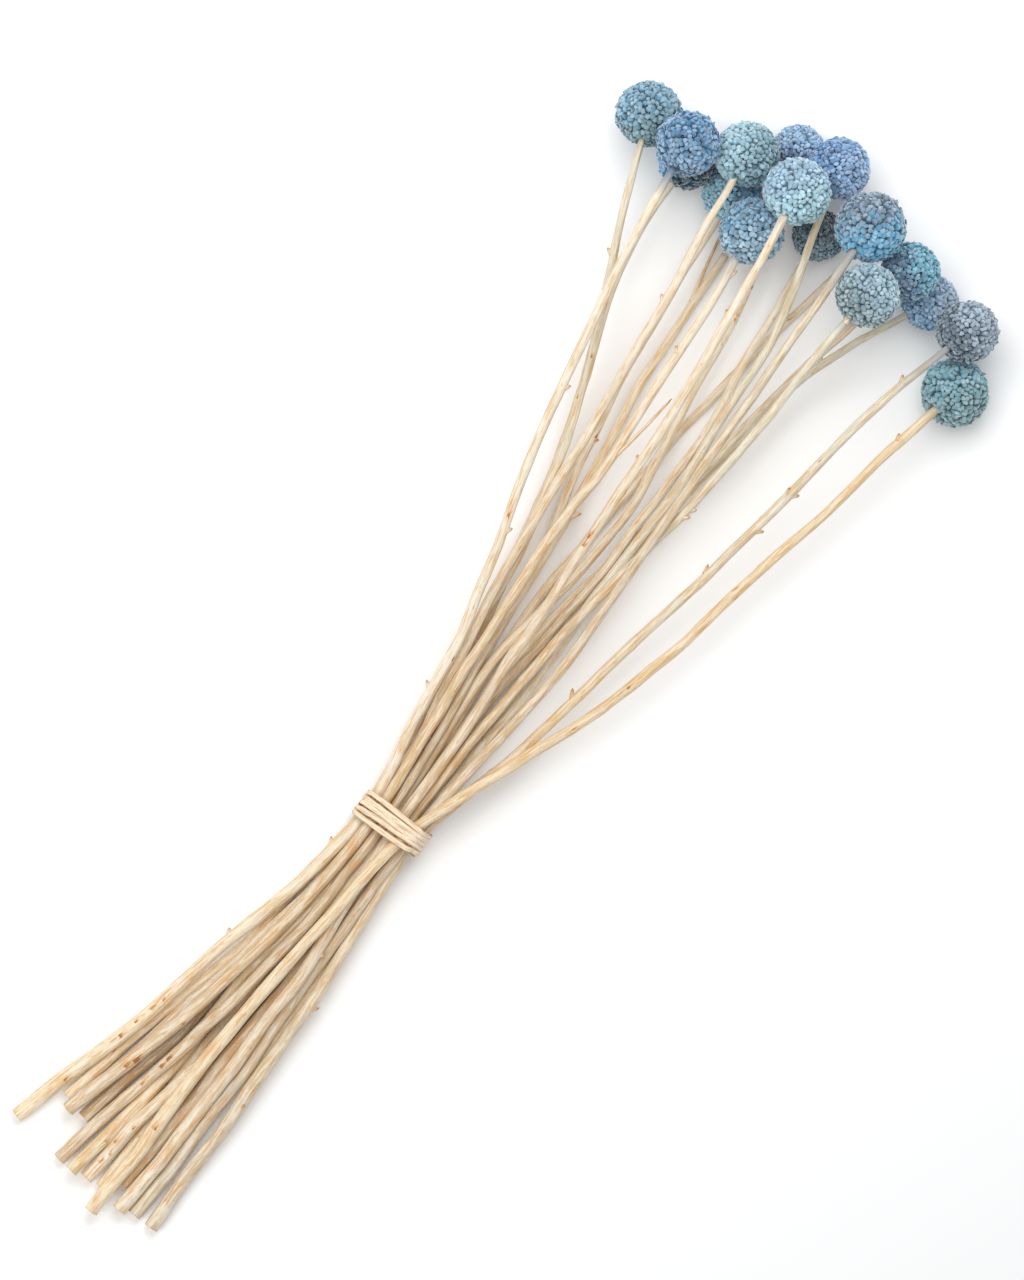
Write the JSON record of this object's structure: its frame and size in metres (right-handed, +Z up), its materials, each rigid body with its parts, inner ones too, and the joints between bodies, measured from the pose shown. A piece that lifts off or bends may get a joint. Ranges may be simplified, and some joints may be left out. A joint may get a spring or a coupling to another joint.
{
  "type": "tied bunch of dried craspedia",
  "caption": "Bunch of dried craspedia lying flat: long straw-coloured stems held near the middle by a wound band, with round blue-dyed heads fanned out at one end.",
  "frame": {"origin": "on the flat underside of the tie, at the middle of its middle turn, on the surface that the bunch lies on", "axes": "+Y along the bunch from the cut ends to the heads, +Z up from the surface, +X to the right seen from above with the heads at the far end"},
  "size_m": [0.1909, 0.5248, 0.0612],
  "materials": {
    "stem_straw": "satin",
    "tie_raffia": "satin",
    "head_teal": "matte",
    "head_slate": "matte",
    "head_blue": "matte",
    "head_mist": "matte",
    "head_iris": "matte",
    "head_plum": "matte"
  },
  "bodies": {
    "root": {"head_01": "head_slate", "head_02": "head_blue", "head_03": "head_teal", "head_04": "head_mist", "head_05": "head_teal", "head_06": "head_blue", "head_07": "head_iris", "head_08": "head_iris", "head_09": "head_mist", "head_10": "head_teal", "head_11": "head_blue", "head_12": "head_mist", "head_13": "head_teal", "head_14": "head_plum", "head_15": "head_plum", "head_16": "head_teal", "stem_01": "stem_straw", "stem_02": "stem_straw", "stem_03": "stem_straw", "stem_04": "stem_straw", "stem_05": "stem_straw", "stem_06": "stem_straw", "stem_07": "stem_straw", "stem_08": "stem_straw", "stem_09": "stem_straw", "stem_10": "stem_straw", "stem_11": "stem_straw", "stem_12": "stem_straw", "stem_13": "stem_straw", "stem_14": "stem_straw", "stem_15": "stem_straw", "stem_16": "stem_straw", "stem_17": "stem_straw", "stem_18": "stem_straw", "tie_band": "tie_raffia"}
  },
  "joints": []
}
